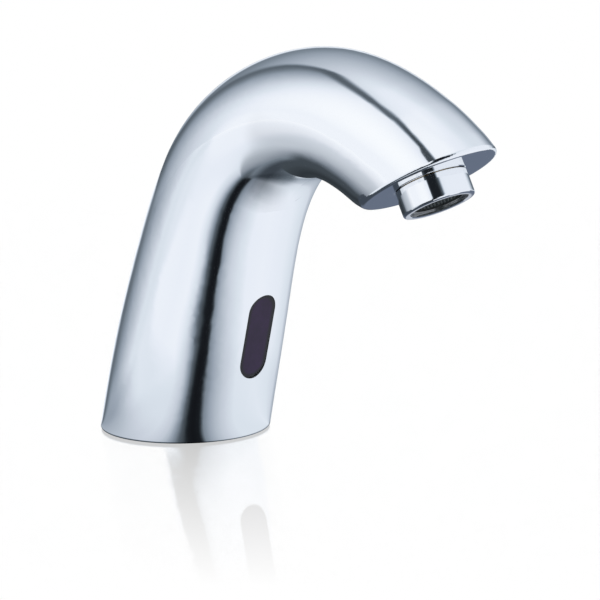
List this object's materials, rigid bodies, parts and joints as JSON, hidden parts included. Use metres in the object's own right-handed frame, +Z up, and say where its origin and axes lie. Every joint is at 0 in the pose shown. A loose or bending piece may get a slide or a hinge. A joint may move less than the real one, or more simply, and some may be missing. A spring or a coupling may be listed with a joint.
{
  "type": "sensor tap",
  "caption": "Touch-free basin tap: arched hollow chromed body on an oval foot, obround infra-red window low on the front, oblique outlet face with a screw-on aerator.",
  "frame": {"origin": "centre of the foot, on the deck the tap stands on", "axes": "+Z up, square to the deck; the spout, outlet and window face -Y; +X across the tap, which is symmetric about the YZ plane"},
  "size_m": [0.059, 0.1641, 0.1357],
  "materials": {
    "chrome_body": "polished",
    "chrome_ring": "polished",
    "brass": "satin",
    "zinc_plate": "satin",
    "steel": "satin",
    "screen_steel": "satin",
    "rubber": "matte",
    "gasket": "matte",
    "tube_plastic": "satin",
    "aerator_plastic": "satin",
    "regulator_plastic": "satin",
    "lens_dark": "gloss",
    "black_plastic": "matte",
    "board": "satin",
    "led_clear": "gloss",
    "led_dark": "gloss",
    "led_red": "gloss",
    "header_plastic": "satin"
  },
  "bodies": {
    "tap": {"body_casting": "chrome_body", "base_plate": "zinc_plate", "base_seal": "gasket", "base_screws": "steel", "inlet_fitting": "brass", "inlet_o_ring": "rubber", "cable_grommet": "rubber", "water_tube": "tube_plastic", "tube_ferrules": "steel", "outlet_nozzle": "brass", "nozzle_o_ring": "rubber", "sensor_lens": "lens_dark", "sensor_gasket": "gasket", "sensor_housing": "black_plastic", "sensor_pcb": "board", "ir_emitter": "led_clear", "ir_receiver": "led_dark", "status_led": "led_red", "light_baffle": "black_plastic", "cable_header": "header_plastic", "sensor_back_cover": "black_plastic", "sensor_clamp": "steel", "clamp_screws": "steel"},
    "aerator_insert": {"aerator_washer": "rubber", "aerator_housing": "aerator_plastic", "aerator_screen": "screen_steel", "mixing_screen": "screen_steel", "flow_regulator": "regulator_plastic", "inlet_strainer": "aerator_plastic"},
    "aerator_ring": {"aerator_ring": "chrome_ring"}
  },
  "joints": [
    {"name": "aerator_travel", "type": "slide", "parent": "tap", "child": "aerator_insert", "axis": [0, -0.4826, -0.8758], "range_m": [0, 0.00425]},
    {"name": "aerator_unscrew", "type": "hinge", "parent": "aerator_insert", "child": "aerator_ring", "pos_m": [0, -0.1151, 0.0981], "axis": [0, -0.4826, -0.8758], "range_deg": [0, 1530.5]}
  ],
  "couplings": [
    {"joint": "aerator_unscrew", "follows": "aerator_travel", "rad_per_m": 6283.2}
  ]
}
